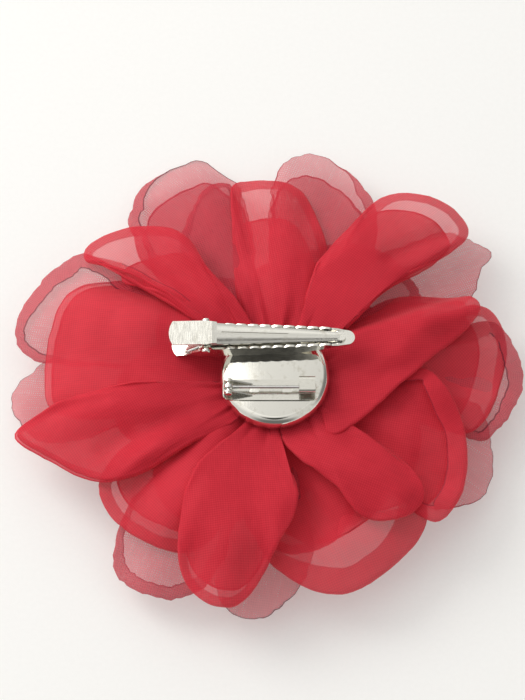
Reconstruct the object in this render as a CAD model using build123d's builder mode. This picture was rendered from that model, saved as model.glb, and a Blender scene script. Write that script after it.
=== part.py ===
"""Chiffon flower hair clip and brooch, lying face down with its metal fittings on top.

The flower is a stack of petal rings held by a gathered core. A round metal disc is glued over the core.
A brooch pin and a toothed alligator clip are welded side by side on the disc.
Units are millimetres. +Z is up, X runs along the clip towards its tip, and the origin is on the surface
that the flower lies on, under the centre of its outline.
"""

from build123d import *
from math import cos, radians, sin
import os

# ---------------------------------------------------------------- driving dimensions
HUB_X, HUB_Y = 2.0, -3.0  # the flower's stem axis, beside the middle of the uneven outline
DISC_TOP = 24.6  # height of the disc's flat top, on which the fittings stand

DISC_RADIUS = 14.0
DISC_HEIGHT = 3.0
DISC_SHOULDER = 2.2  # radius of the rounded edge
DISC_SHEET = 0.45

FELT_RADIUS, FELT_THICKNESS = 13.3, 1.3
GLUE_RADIUS = 11.2
CORE_RADIUS = 9.9  # bundle of gathered petal roots
CORE_BOTTOM = 8.6
THREAD_RADIUS = 0.3
THREAD_TURNS = 3
THREAD_PITCH = 0.7

BAR_Y = -4.8  # the brooch bar's middle, from the disc's centre
BAR_LEFT, BAR_RIGHT = -13.2, 11.2
BAR_WIDTH, BAR_SHEET = 5.6, 0.5
BAR_HOLE_RADIUS, BAR_HOLE_SPACING = 1.3, 8.4
PIN_X, PIN_Z = -11.7, 1.9  # the brooch hinge's rivet: from the disc's centre, and above the bar
EAR_SHEET = 0.4
EAR_INNER = 1.3  # half the gap between the hinge's ears
RIVET_RADIUS = 0.55
NEEDLE_RADIUS = 0.4
NEEDLE_SHAFT_END, NEEDLE_TAPER_END, NEEDLE_POINT = 16.0, 21.0, 22.6  # lengths from the rivet
CATCH_LEFT, CATCH_RIGHT = 6.2, 10.3
RUNNING = 0.04  # radial clearance of a shaft that turns

CLIP_Y = 8.4  # the clip's middle, from the disc's centre
CLIP_X = -17.5  # the clip's pivot, from the disc's centre
PIVOT_Z = 4.4  # the pivot's height above the disc
JAW_SHEET = 0.55
LEVER_SHEET = 0.5
TAIL_LENGTH, TAIL_DROP, TAIL_START = 8.7, 2.1, -0.6
JAW_TIP = 37.9
TOOTH_PITCH, TOOTH_HEIGHT = 3.05, 0.5
PIVOT_RADIUS = 0.6
SPRING_WIRE, SPRING_RADIUS, SPRING_TURNS, SPRING_PITCH = 0.7, 1.2, 4.5, 0.75
UPPER_LEG, LOWER_LEG, LOWER_LEG_SLOPE = 6.0, 7.0, 30.0

PETAL_SHEET = 0.6  # two layers of chiffon and the air between them
PETAL_ROOT = 10.1  # distance from the hub at which a petal leaves the core
ROOT_WIDTH = 5.6

os.makedirs("parts", exist_ok=True)


def write(part, name):
    """Labels one finished piece and writes it to its own file."""
    part.label = name
    export_step(part, f"parts/{name}.step")


# ---------------------------------------------------------------- planes
HUB_AXIS = Axis((HUB_X, HUB_Y, 0), (0, 0, 1))


def level(z, x=0.0, y=0.0):
    """A flat plane at height z, whose origin is x and y from the hub."""
    return Plane(origin=(HUB_X + x, HUB_Y + y, z))


def upright(angle):
    """The vertical plane through the hub at that compass angle: its x is outwards, its y is up."""
    outwards = Vector(cos(radians(angle)), sin(radians(angle)), 0)
    return Plane(origin=(HUB_X, HUB_Y, 0), x_dir=outwards, z_dir=outwards.cross(Vector(0, 0, 1)))


def facing(angle):
    """The ground plane turned so that its x points outwards at that angle."""
    outwards = Vector(cos(radians(angle)), sin(radians(angle)), 0)
    return Plane(origin=(HUB_X, HUB_Y, 0), x_dir=outwards, z_dir=(0, 0, 1))


def bar_side(y=0.0):
    """Side view of the brooch bar: origin on the bar's top, at the disc's centre line."""
    return Plane(origin=(HUB_X, HUB_Y + BAR_Y + y, DISC_TOP + BAR_SHEET), x_dir=(1, 0, 0), z_dir=(0, -1, 0))


def clip_side(y=0.0):
    """Side view of the clip: origin on the disc's top, under the pivot."""
    return Plane(origin=(HUB_X + CLIP_X, HUB_Y + CLIP_Y + y, DISC_TOP), x_dir=(1, 0, 0), z_dir=(0, -1, 0))


# ---------------------------------------------------------------- petals
# A ring is a thin bowl. Its section runs through three points: where the petals leave the core,
# the top of their arch, and the rim. Each point is a distance from the hub and a height.
RINGS = {
    "top": ((PETAL_ROOT, 19.5), (38.0, 19.6), (68.0, 11.6)),
    "second": ((PETAL_ROOT, 18.5), (38.0, 17.0), (68.0, 8.6)),
    "third": ((PETAL_ROOT, 17.5), (38.0, 14.2), (70.0, 5.4)),
    "fourth": ((PETAL_ROOT, 16.5), (38.0, 11.4), (70.0, 2.4)),
    "face": ((PETAL_ROOT, 15.2), (30.0, 9.4), (50.0, 0.0)),
    "inner": ((PETAL_ROOT, 13.8), (22.0, 9.2), (35.0, 0.6)),
}

# Ring, compass angle, reach from the hub and width of each petal.
BACK_PETALS = [
    ("top", 11, 62, 28),
    ("top", 50, 65, 28),
    ("top", 133, 61, 34),
    ("top", 198, 63, 36),
    ("top", 258, 60, 33),
    ("top", 320, 52, 33),
    ("second", 28, 60, 30),
    ("second", 88, 61, 34),
    ("second", 168, 60, 38),
    ("second", 226, 55, 36),
    ("second", 292, 58, 34),
    ("second", 341, 56, 25),
]
SHEER_PETALS = [
    ("third", 0, 64, 30),
    ("third", 36, 69, 28),
    ("third", 72, 68, 27),
    ("third", 106, 62, 25),
    ("third", 157, 69, 36),
    ("third", 237, 64, 38),
    ("third", 300, 56, 36),
    ("fourth", 52, 58, 34),
    ("fourth", 117, 68, 36),
    ("fourth", 183, 67, 34),
    ("fourth", 268, 60, 34),
    ("fourth", 334, 61, 34),
]
FACE_PETALS = [("face", 25 + 360 / 7 * i, 47 + 2 * (i % 2), 27) for i in range(7)]
INNER_PETALS = [("inner", 50 + 72 * i, 33.5, 24) for i in range(5)]


def ring_bowl(points, start, arc):
    """The stretch of a ring's thin bowl that one petal is cut from."""
    with BuildSketch(upright(start)) as section:
        with BuildLine():
            lower = ThreePointArc(*points)
            upper = ThreePointArc(*[(r, z + PETAL_SHEET) for r, z in points])
            Line(lower @ 0, upper @ 0)
            Line(lower @ 1, upper @ 1)
        make_face()
    return revolve(section.sketch, axis=HUB_AXIS, revolution_arc=arc)


def petal(ring, angle, reach, width):
    """A drop-shaped petal: round at its tip, narrow where it joins the core."""
    spread = 45  # degrees each side, wider than any petal
    with BuildPart() as piece:
        add(ring_bowl(RINGS[ring], angle - spread, 2 * spread))
        with BuildSketch(facing(angle)):
            with Locations((reach - width / 2, 0)):
                Circle(width / 2)
            with Locations((PETAL_ROOT + 0.5, 0)):
                Rectangle(1, ROOT_WIDTH)
            make_hull()
        extrude(amount=DISC_TOP, mode=Mode.INTERSECT)
    return piece.part


for group, petals in (
    ("back_petal", BACK_PETALS),
    ("sheer_petal", SHEER_PETALS),
    ("face_petal", FACE_PETALS),
    ("inner_petal", INNER_PETALS),
):
    for number, measures in enumerate(petals, start=1):
        write(petal(*measures), f"{group}_{number:02d}")

# The rosette in the middle of the flower's face: three petals that wrap round each other's gaps.
BUD_PETALS = 3
BUD_ARC = 112
for number in range(BUD_PETALS):
    with BuildPart() as bud_petal:
        with BuildSketch(upright(20 + 360 / BUD_PETALS * number)):
            with BuildLine():
                inside = ThreePointArc((2.4, 8.4), (7.4, 5.4), (8.6, 0))
                outside = ThreePointArc((2.4, 7.6), (6.5, 5.0), (7.6, 0))
                Line(inside @ 0, outside @ 0)
                Line(inside @ 1, outside @ 1)
            make_face()
        revolve(axis=HUB_AXIS, revolution_arc=BUD_ARC)
    write(bud_petal.part, f"bud_petal_{number + 1:02d}")

# ---------------------------------------------------------------- what holds the flower together
disc_foot = DISC_TOP - DISC_HEIGHT
felt_top = disc_foot + 0.65  # the felt's upper face lies just inside the disc's skirt

with BuildPart() as gathered_core:
    with BuildSketch(level(CORE_BOTTOM)):
        Circle(CORE_RADIUS)
    extrude(amount=felt_top - FELT_THICKNESS - CORE_BOTTOM)
    fillet(gathered_core.edges().group_by(Axis.Z)[0], 2.0)
write(gathered_core.part, "gathered_core")

with BuildPart() as binding_thread:
    with BuildLine():
        winding = Helix(THREAD_PITCH, THREAD_TURNS * THREAD_PITCH, CORE_RADIUS + THREAD_RADIUS + 0.05,
                        center=(HUB_X, HUB_Y, CORE_BOTTOM + 1.6))
    with BuildSketch(Plane(origin=winding @ 0, z_dir=winding % 0)):
        Circle(THREAD_RADIUS)
    sweep(path=winding)
write(binding_thread.part, "binding_thread")

with BuildPart() as felt_pad:
    with BuildSketch(level(felt_top - FELT_THICKNESS)):
        Circle(FELT_RADIUS)
    extrude(amount=FELT_THICKNESS)
write(felt_pad.part, "felt_pad")

with BuildPart() as glue_bed:
    with BuildSketch(level(felt_top)):
        Circle(GLUE_RADIUS)
    extrude(amount=DISC_TOP - DISC_SHEET - felt_top)
write(glue_bed.part, "glue_bed")

# ---------------------------------------------------------------- backing disc
with BuildPart() as backing_disc:
    with BuildSketch(level(disc_foot)):
        Circle(DISC_RADIUS)
    extrude(amount=DISC_HEIGHT)
    fillet(backing_disc.edges().group_by(Axis.Z)[-1], DISC_SHOULDER)
    offset(amount=-DISC_SHEET, openings=backing_disc.faces().sort_by(Axis.Z)[0])
write(backing_disc.part, "backing_disc")

# ---------------------------------------------------------------- brooch bar, with its hinge ears and catch
bar_middle = (BAR_LEFT + BAR_RIGHT) / 2
bar_length = BAR_RIGHT - BAR_LEFT
EAR_HEAD = 1.15  # radius of an ear round the rivet
EAR_FOOT = 7.2
CATCH_HEIGHT, CATCH_REACH, CATCH_LIP = 3.3, 1.7, 0.45

with BuildPart() as brooch_bar:
    with BuildSketch(level(DISC_TOP, bar_middle, BAR_Y)):
        RectangleRounded(bar_length, BAR_WIDTH, 1.6)
        with GridLocations(BAR_HOLE_SPACING, 0, 2, 1):
            Circle(BAR_HOLE_RADIUS, mode=Mode.SUBTRACT)
    extrude(amount=BAR_SHEET)
    # hinge ears: round over the rivet, sloping down to the bar
    for side in (EAR_INNER, -EAR_INNER - EAR_SHEET):
        with BuildSketch(bar_side(side + EAR_SHEET)):
            with Locations((PIN_X, PIN_Z)):
                Circle(EAR_HEAD)
            with Locations((PIN_X + EAR_FOOT / 2 - EAR_HEAD, 0.1)):
                Rectangle(EAR_FOOT, 0.2)
            make_hull()
            with Locations((PIN_X, PIN_Z)):
                Circle(RIVET_RADIUS + RUNNING, mode=Mode.SUBTRACT)
        extrude(amount=EAR_SHEET)
    # catch: a strip that rises at the bar's far edge and curls forward over the needle
    with BuildSketch(Plane(origin=(HUB_X + CATCH_RIGHT, HUB_Y + BAR_Y, DISC_TOP + BAR_SHEET),
                           x_dir=(0, -1, 0), z_dir=(-1, 0, 0))):
        with BuildLine():
            back = -BAR_WIDTH / 2
            front = CATCH_REACH
            Line((back, -BAR_SHEET), (back, CATCH_HEIGHT - 1.2))
            ThreePointArc((back, CATCH_HEIGHT - 1.2), (back + 0.35, CATCH_HEIGHT - 0.35),
                          (back + 1.2, CATCH_HEIGHT))
            Line((back + 1.2, CATCH_HEIGHT), (front - 0.6, CATCH_HEIGHT))
            ThreePointArc((front - 0.6, CATCH_HEIGHT), (front - 0.18, CATCH_HEIGHT - 0.18),
                          (front, CATCH_HEIGHT - 0.6))
            Polyline(
                (front, CATCH_HEIGHT - 0.6),
                (front, CATCH_HEIGHT - BAR_SHEET - CATCH_LIP),
                (front - 0.3, CATCH_HEIGHT - BAR_SHEET - CATCH_LIP),
                (front - 0.55, CATCH_HEIGHT - BAR_SHEET),
                (back + 1.2, CATCH_HEIGHT - BAR_SHEET),
            )
            ThreePointArc((back + 1.2, CATCH_HEIGHT - BAR_SHEET),
                          (back + 0.7, CATCH_HEIGHT - 0.7), (back + BAR_SHEET, CATCH_HEIGHT - 1.2))
            Polyline(
                (back + BAR_SHEET, CATCH_HEIGHT - 1.2),
                (back + BAR_SHEET, -BAR_SHEET),
                (back, -BAR_SHEET),
            )
        make_face()
    extrude(amount=CATCH_RIGHT - CATCH_LEFT)
write(brooch_bar.part, "brooch_bar")

# ---------------------------------------------------------------- brooch hinge rivet and needle
HEAD_RADIUS, HEAD_THICKNESS = 0.95, 0.4
ear_outer = EAR_INNER + EAR_SHEET
with BuildPart() as hinge_rivet:
    with BuildSketch(bar_side(ear_outer + HEAD_THICKNESS)):
        with Locations((PIN_X, PIN_Z)):
            Circle(RIVET_RADIUS)
    extrude(amount=2 * (ear_outer + HEAD_THICKNESS))
    for near in (ear_outer + 0.05 + HEAD_THICKNESS, -ear_outer - 0.05):
        with BuildSketch(bar_side(near)):
            with Locations((PIN_X, PIN_Z)):
                Circle(HEAD_RADIUS)
        extrude(amount=HEAD_THICKNESS)
    fillet(hinge_rivet.edges().filter_by(GeomType.CIRCLE).sort_by(Axis.Y)[-1], 0.25)
    fillet(hinge_rivet.edges().filter_by(GeomType.CIRCLE).sort_by(Axis.Y)[0], 0.25)
write(hinge_rivet.part, "hinge_rivet")

EYE_RADIUS, EYE_HOLE, EYE_SHEET = 1.2, 0.75, 0.8  # loose on the rivet, so that the needle has side play
needle_height = DISC_TOP + BAR_SHEET + PIN_Z
with BuildPart() as needle:
    with BuildSketch(bar_side(EYE_SHEET / 2)):
        with Locations((PIN_X, PIN_Z)):
            Circle(EYE_RADIUS)
            Circle(EYE_HOLE, mode=Mode.SUBTRACT)
    extrude(amount=EYE_SHEET)
    with BuildSketch(bar_side()):
        with BuildLine():
            Polyline(
                (PIN_X + 1.0, PIN_Z),
                (PIN_X + 1.0, PIN_Z + NEEDLE_RADIUS),
                (PIN_X + NEEDLE_SHAFT_END, PIN_Z + NEEDLE_RADIUS),
                (PIN_X + NEEDLE_TAPER_END, PIN_Z + 0.26),
                (PIN_X + NEEDLE_POINT, PIN_Z),
                close=True,
            )
        make_face()
    revolve(axis=Axis((0, HUB_Y + BAR_Y, needle_height), (1, 0, 0)))
write(needle.part, "brooch_needle")

# ---------------------------------------------------------------- clip: the toothed lower jaw
# Plan: a long tapered channel. Side view: a tail that slopes down, a flat floor on the disc,
# walls with a scalloped edge, ears round the pivot, and a tip that turns up.
PIVOT_HALF, MIDDLE_HALF, TIP_HALF = 3.6, 3.1, 1.95  # half widths at the pivot, mid jaw and tip
TAIL_HALF = 3.1
TIP_RISE = 3.0
RISE_START, RISE_END = 24.0, 33.5
WALL_HEIGHT, WALL_TIP_HEIGHT, WALL_END = 4.0, 3.9, -4.4
TOOTH_START, TOOTH_COUNT = 4.6, 9
EAR_RADIUS = 1.55
CLIP_BOX = 20.0  # taller and wider than any part of the clip

tooth_end = TOOTH_START + TOOTH_COUNT * TOOTH_PITCH


def wall_height(x):
    """Height of the walls' edge between the teeth, falling evenly towards the tip."""
    return WALL_HEIGHT - (WALL_HEIGHT - WALL_TIP_HEIGHT) * (x - TOOTH_START) / (tooth_end - TOOTH_START)


def jaw_plan(inset=0.0):
    """Outline of the lower jaw from above."""
    upper = [
        (-TAIL_LENGTH + 1.2, TAIL_HALF - inset),
        (-3.6, TAIL_HALF - inset),
        (-2.0, PIVOT_HALF - inset),
        (3.0, PIVOT_HALF - inset),
        (18.0, MIDDLE_HALF - inset),
        (RISE_END, TIP_HALF + 0.45 - inset),
        (JAW_TIP - TIP_HALF, TIP_HALF - inset),
    ]
    lower = [(x, -y) for x, y in reversed(upper)]
    with BuildSketch(level(DISC_TOP, CLIP_X, CLIP_Y)) as plan:
        with BuildLine():
            Polyline(*upper)
            ThreePointArc(upper[-1], (JAW_TIP - inset, 0), lower[0])
            Polyline(*lower)
            ThreePointArc(lower[-1], (-TAIL_LENGTH + inset, 0), upper[0])
        make_face()
    return plan.sketch


def tail_height(x):
    """Height of the tail's upper face at x."""
    return JAW_SHEET + TAIL_DROP * (x - TAIL_START) / (TAIL_LENGTH + TAIL_START)


def floor_line(lift):
    """Side view of the floor, raised by lift, from the tail to the tip."""
    return [
        (-TAIL_LENGTH - 1, tail_height(-TAIL_LENGTH - 1) - JAW_SHEET + lift),
        (TAIL_START, lift),
        (RISE_START, lift),
        (RISE_END, TIP_RISE + lift),
        (JAW_TIP + 1, TIP_RISE + lift),
    ]


with BuildPart() as jaw_cavity:
    extrude(jaw_plan(inset=JAW_SHEET), amount=CLIP_BOX / 2, both=True)
    with BuildSketch(clip_side()):
        with BuildLine():
            Polyline(*floor_line(JAW_SHEET), (JAW_TIP + 1, CLIP_BOX), (-TAIL_LENGTH - 1, CLIP_BOX),
                     close=True)
        make_face()
    extrude(amount=CLIP_BOX / 2, both=True, mode=Mode.INTERSECT)

with BuildPart() as lower_jaw:
    extrude(jaw_plan(), amount=CLIP_BOX / 2, both=True)
    with BuildSketch(clip_side()):
        with BuildLine():
            ground = Polyline(*floor_line(0))
            rim_tip = Line(ground @ 1, (JAW_TIP + 1, TIP_RISE + JAW_SHEET))
            tip_top = Polyline(rim_tip @ 1, (JAW_TIP - 2.6, TIP_RISE + JAW_SHEET),
                               (tooth_end + 0.4, wall_height(tooth_end)), (tooth_end, wall_height(tooth_end)))
            for tooth in range(TOOTH_COUNT):
                right = tooth_end - tooth * TOOTH_PITCH
                left = right - TOOTH_PITCH
                middle = (left + right) / 2
                ThreePointArc((right, wall_height(right)), (middle, wall_height(middle) + TOOTH_HEIGHT),
                              (left, wall_height(left)))
            rear = Polyline((TOOTH_START, wall_height(TOOTH_START)), (1.0, WALL_HEIGHT), (-1.0, WALL_HEIGHT),
                            (WALL_END, tail_height(WALL_END)), (-TAIL_LENGTH - 1, tail_height(-TAIL_LENGTH - 1)))
            Line(rear @ 1, ground @ 0)
        make_face()
        with Locations((0, PIVOT_Z)):
            Circle(EAR_RADIUS)
            Circle(PIVOT_RADIUS + RUNNING, mode=Mode.SUBTRACT)
    extrude(amount=CLIP_BOX / 2, both=True, mode=Mode.INTERSECT)
    add(jaw_cavity.part, mode=Mode.SUBTRACT)
write(lower_jaw.part, "clip_lower_jaw")

# ---------------------------------------------------------------- clip: the upper lever
# A flat thumb pad, a pair of ears round the pivot and an arched arm that narrows to a hooked tip.
PAD_LENGTH, PAD_HALF, PAD_END_Z, PAD_BEND_Z = 9.4, 3.25, 6.3, 6.9
BEND_X = 1.6
ARM_END, ARM_END_Z = 34.2, 4.65
ARM_HALF, ARM_END_HALF = 3.0, 1.25
ARM_ARCH, ARM_END_ARCH = 0.95, 0.45
LEVER_EAR_OUTER = 2.9
LEVER_EAR_RADIUS = 1.3
HOOK_TIP = 35.6


GROOVE_START, GROOVE_END, GROOVE_WIDTH, GROOVE_DEPTH = 4.0, 21.0, 0.5, 0.22


def crown_height(x):
    """Height of the arm's crown at x."""
    return PAD_BEND_Z - (PAD_BEND_Z - ARM_END_Z) * (x - BEND_X) / (ARM_END - BEND_X)


def arm_section(x, z, half, arch):
    """Cross-section of the arm at x: a shallow arched strip whose crown is at height z."""
    plane = Plane(origin=(HUB_X + CLIP_X + x, HUB_Y + CLIP_Y, DISC_TOP), x_dir=(0, 1, 0), z_dir=(1, 0, 0))
    with BuildSketch(plane) as section:
        with BuildLine():
            crown = ThreePointArc((-half, z - arch), (0, z), (half, z - arch))
            belly = ThreePointArc((-half, z - arch - LEVER_SHEET), (0, z - LEVER_SHEET),
                                  (half, z - arch - LEVER_SHEET))
            Line(crown @ 0, belly @ 0)
            Line(crown @ 1, belly @ 1)
        make_face()
    return section.sketch


with BuildPart() as upper_lever:
    # thumb pad
    with BuildSketch(clip_side()):
        with BuildLine():
            Polyline(
                (-PAD_LENGTH, PAD_END_Z),
                (BEND_X, PAD_BEND_Z),
                (BEND_X + 1.2, PAD_BEND_Z - 0.1),
                (BEND_X + 1.2, PAD_BEND_Z - 0.1 - LEVER_SHEET),
                (BEND_X, PAD_BEND_Z - LEVER_SHEET),
                (-PAD_LENGTH, PAD_END_Z - LEVER_SHEET),
                close=True,
            )
        make_face()
    extrude(amount=CLIP_BOX / 2, both=True)
    with BuildSketch(level(DISC_TOP, CLIP_X, CLIP_Y)):
        with BuildLine():
            rear_low, rear_high = (-PAD_LENGTH + 1.0, -PAD_HALF), (-PAD_LENGTH + 1.0, PAD_HALF)
            ThreePointArc(rear_low, (-PAD_LENGTH, 0), rear_high)
            Polyline(rear_high, (0, PAD_HALF), (BEND_X + 1.2, ARM_HALF - 0.1),
                     (BEND_X + 1.2, -ARM_HALF + 0.1), (0, -PAD_HALF), rear_low)
        make_face()
    extrude(amount=CLIP_BOX / 2, both=True, mode=Mode.INTERSECT)
    # arched arm
    loft([
        arm_section(BEND_X, PAD_BEND_Z + 0.02, ARM_HALF, ARM_ARCH),
        arm_section(ARM_END, ARM_END_Z, ARM_END_HALF, ARM_END_ARCH),
    ])
    # stiffening groove along the crown
    with BuildSketch(clip_side()):
        with BuildLine():
            Polyline(
                (GROOVE_START, crown_height(GROOVE_START) - GROOVE_DEPTH),
                (GROOVE_END, crown_height(GROOVE_END) - GROOVE_DEPTH),
                (GROOVE_END, PAD_BEND_Z + 1),
                (GROOVE_START, PAD_BEND_Z + 1),
                close=True,
            )
        make_face()
    extrude(amount=GROOVE_WIDTH / 2, both=True, mode=Mode.SUBTRACT)
    # rounded, hooked tip
    with BuildSketch(level(DISC_TOP + TIP_RISE + JAW_SHEET + 0.12, CLIP_X, CLIP_Y)):
        with Locations((HOOK_TIP - ARM_END_HALF, 0)):
            Circle(ARM_END_HALF)
    extrude(amount=ARM_END_Z - TIP_RISE - JAW_SHEET - 0.12 - 0.1)
    # ears
    for side in (LEVER_EAR_OUTER, -LEVER_EAR_OUTER + LEVER_SHEET):
        with BuildSketch(clip_side(side)):
            with Locations((0, PIVOT_Z)):
                Circle(LEVER_EAR_RADIUS)
            with Locations((0, PAD_BEND_Z - LEVER_SHEET - 0.2)):
                Rectangle(4.0, 0.4)
            make_hull()
            with Locations((0, PIVOT_Z)):
                Circle(PIVOT_RADIUS + RUNNING, mode=Mode.SUBTRACT)
        extrude(amount=LEVER_SHEET)
write(upper_lever.part, "clip_upper_lever")

# ---------------------------------------------------------------- clip: pivot pin and torsion spring
KNOB_RADIUS, KNOB_THICKNESS, KNOB_REACH = 1.05, 0.8, 4.65
with BuildPart() as pivot_pin:
    with BuildSketch(clip_side(KNOB_REACH)):
        with Locations((0, PIVOT_Z)):
            Circle(PIVOT_RADIUS)
    extrude(amount=2 * KNOB_REACH)
    for near in (KNOB_REACH, -KNOB_REACH + KNOB_THICKNESS):
        with BuildSketch(clip_side(near)):
            with Locations((0, PIVOT_Z)):
                Circle(KNOB_RADIUS)
        extrude(amount=KNOB_THICKNESS)
    fillet(pivot_pin.edges().filter_by(GeomType.CIRCLE).sort_by(Axis.Y)[-1], 0.35)
    fillet(pivot_pin.edges().filter_by(GeomType.CIRCLE).sort_by(Axis.Y)[0], 0.35)
write(pivot_pin.part, "clip_pivot_pin")

# The spring is coiled round the pin. One leg lifts the thumb pad, the other presses on the jaw's tail.
coil_turns = SPRING_TURNS - LOWER_LEG_SLOPE / 360  # the coil ends where it points along the lower leg
coil_length = coil_turns * SPRING_PITCH
coil_plane = Plane(
    origin=(HUB_X + CLIP_X, HUB_Y + CLIP_Y + coil_length / 2, DISC_TOP + PIVOT_Z),
    x_dir=(0, 0, 1),
    z_dir=(0, -1, 0),
)
coil = coil_plane * Helix(SPRING_PITCH, coil_length, SPRING_RADIUS, lefthand=True)
with BuildPart() as torsion_spring:
    with BuildLine() as wire:
        upper_leg = Line((coil @ 0) - (coil % 0) * UPPER_LEG, coil @ 0)
        add(coil)
        Line(coil @ 1, (coil @ 1) + (coil % 1) * LOWER_LEG)
    with BuildSketch(Plane(origin=upper_leg @ 0, z_dir=upper_leg % 0)):
        Circle(SPRING_WIRE / 2)
    sweep(path=wire.wire())
write(torsion_spring.part, "clip_torsion_spring")
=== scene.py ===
"""The look of the chiffon flower hair clip: its petals, core, spring, materials, camera and light."""

import math

import bpy
import numpy as np
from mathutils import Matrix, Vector, noise


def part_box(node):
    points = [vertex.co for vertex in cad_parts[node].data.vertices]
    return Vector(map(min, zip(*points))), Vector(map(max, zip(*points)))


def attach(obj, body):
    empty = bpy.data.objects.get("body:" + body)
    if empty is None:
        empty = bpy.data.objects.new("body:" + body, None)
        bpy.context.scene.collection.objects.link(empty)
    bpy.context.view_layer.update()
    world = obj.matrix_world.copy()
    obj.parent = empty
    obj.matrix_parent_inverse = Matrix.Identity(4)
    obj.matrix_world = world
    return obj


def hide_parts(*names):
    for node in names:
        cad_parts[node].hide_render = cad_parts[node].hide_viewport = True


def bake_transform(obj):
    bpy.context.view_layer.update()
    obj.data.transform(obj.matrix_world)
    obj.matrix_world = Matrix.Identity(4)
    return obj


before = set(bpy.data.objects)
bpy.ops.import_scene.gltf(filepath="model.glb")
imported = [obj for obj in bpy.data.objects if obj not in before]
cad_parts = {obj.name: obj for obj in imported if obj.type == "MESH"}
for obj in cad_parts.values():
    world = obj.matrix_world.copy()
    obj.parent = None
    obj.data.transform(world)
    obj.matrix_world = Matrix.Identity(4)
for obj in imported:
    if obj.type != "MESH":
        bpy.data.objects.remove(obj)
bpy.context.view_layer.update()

MM = 0.001
ROOT_BODY = "flower"

disc_low, disc_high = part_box("backing_disc")
HUB = (disc_low + disc_high) / 2


# ---------------------------------------------------------------- camera and light
VIEW_ELEVATION = math.radians(67)
VIEW_DISTANCE = 1.2
VIEW_CENTRE = Vector((HUB.x - 3.1 * MM, HUB.y + 6.4 * MM, disc_high.z))
FRAME_HEIGHT = 0.1785  # what the picture's height covers at the disc, in metres


def make_camera():
    """A long lens at the photograph's angle, aimed near the disc's top."""
    data = bpy.data.cameras.new("camera")
    data.sensor_fit = "VERTICAL"
    data.sensor_height = 24.0
    data.lens = data.sensor_height * VIEW_DISTANCE / FRAME_HEIGHT
    data.clip_start = 0.01
    camera = bpy.data.objects.new("camera", data)
    bpy.context.scene.collection.objects.link(camera)
    back = Vector((0, -math.cos(VIEW_ELEVATION), math.sin(VIEW_ELEVATION)))
    camera.location = VIEW_CENTRE + back * VIEW_DISTANCE
    camera.rotation_euler = (-back).to_track_quat("-Z", "Y").to_euler()
    bpy.context.scene.camera = camera


def area_light(name, place, target, size, watts, colour=(1, 1, 1)):
    data = bpy.data.lights.new(name, "AREA")
    data.shape = "RECTANGLE"
    data.size, data.size_y = size
    data.energy = watts
    data.color = colour
    light = bpy.data.objects.new(name, data)
    bpy.context.scene.collection.objects.link(light)
    light.location = place
    light.rotation_euler = (Vector(target) - Vector(place)).to_track_quat("-Z", "Y").to_euler()


def make_world():
    """A white room: brightest above the left shoulder and behind, dim where the photographer stands."""
    bpy.context.scene.view_settings.view_transform = "Standard"
    world = bpy.data.worlds.new("studio")
    bpy.context.scene.world = world
    world.use_nodes = True
    tree = world.node_tree
    background = tree.nodes["Background"]
    towards = tree.nodes.new("ShaderNodeTexCoord").outputs["Generated"]
    total = None
    for heading, low, high, amount in ROOM_PATCHES:
        dot = tree.nodes.new("ShaderNodeVectorMath")
        dot.operation = "DOT_PRODUCT"
        tree.links.new(towards, dot.inputs[0])
        dot.inputs[1].default_value = Vector(heading).normalized()
        fade = tree.nodes.new("ShaderNodeMapRange")
        fade.interpolation_type = "SMOOTHSTEP"
        tree.links.new(dot.outputs["Value"], fade.inputs[0])
        for socket, value in zip(fade.inputs[1:5], (low, high, 0.0, amount)):
            socket.default_value = value
        if total is None:
            total = fade.outputs[0]
            continue
        add = tree.nodes.new("ShaderNodeMath")
        tree.links.new(total, add.inputs[0])
        tree.links.new(fade.outputs[0], add.inputs[1])
        total = add.outputs[0]
    room = tree.nodes.new("ShaderNodeMath")
    room.inputs[1].default_value = ROOM_LIGHT
    tree.links.new(total, room.inputs[0])
    tree.links.new(room.outputs[0], background.inputs["Strength"])
    background.inputs["Color"].default_value = (1.0, 0.99, 0.965, 1)


ROOM_LIGHT = 0.72
# Each brighter or darker patch of the room: direction, the cosines where it starts and is full, and amount.
ROOM_PATCHES = [
    ((-0.55, 0.55, 0.65), 0.35, 0.95, 0.45),
    ((0.05, 0.39, 0.92), 0.93, 0.985, -0.24),
    ((-0.24, 0.36, 0.90), 0.984, 0.990, 0.70),
    ((0.0, -0.39, 0.92), 0.965, 0.992, -0.68),
    ((0.0, -1.0, 0.35), 0.75, 0.97, -0.55),
    ((1.0, 0.2, 0.30), 0.80, 0.98, -0.50),
    ((-0.3, 1.0, 0.12), 0.88, 0.99, -0.50),
]


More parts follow.
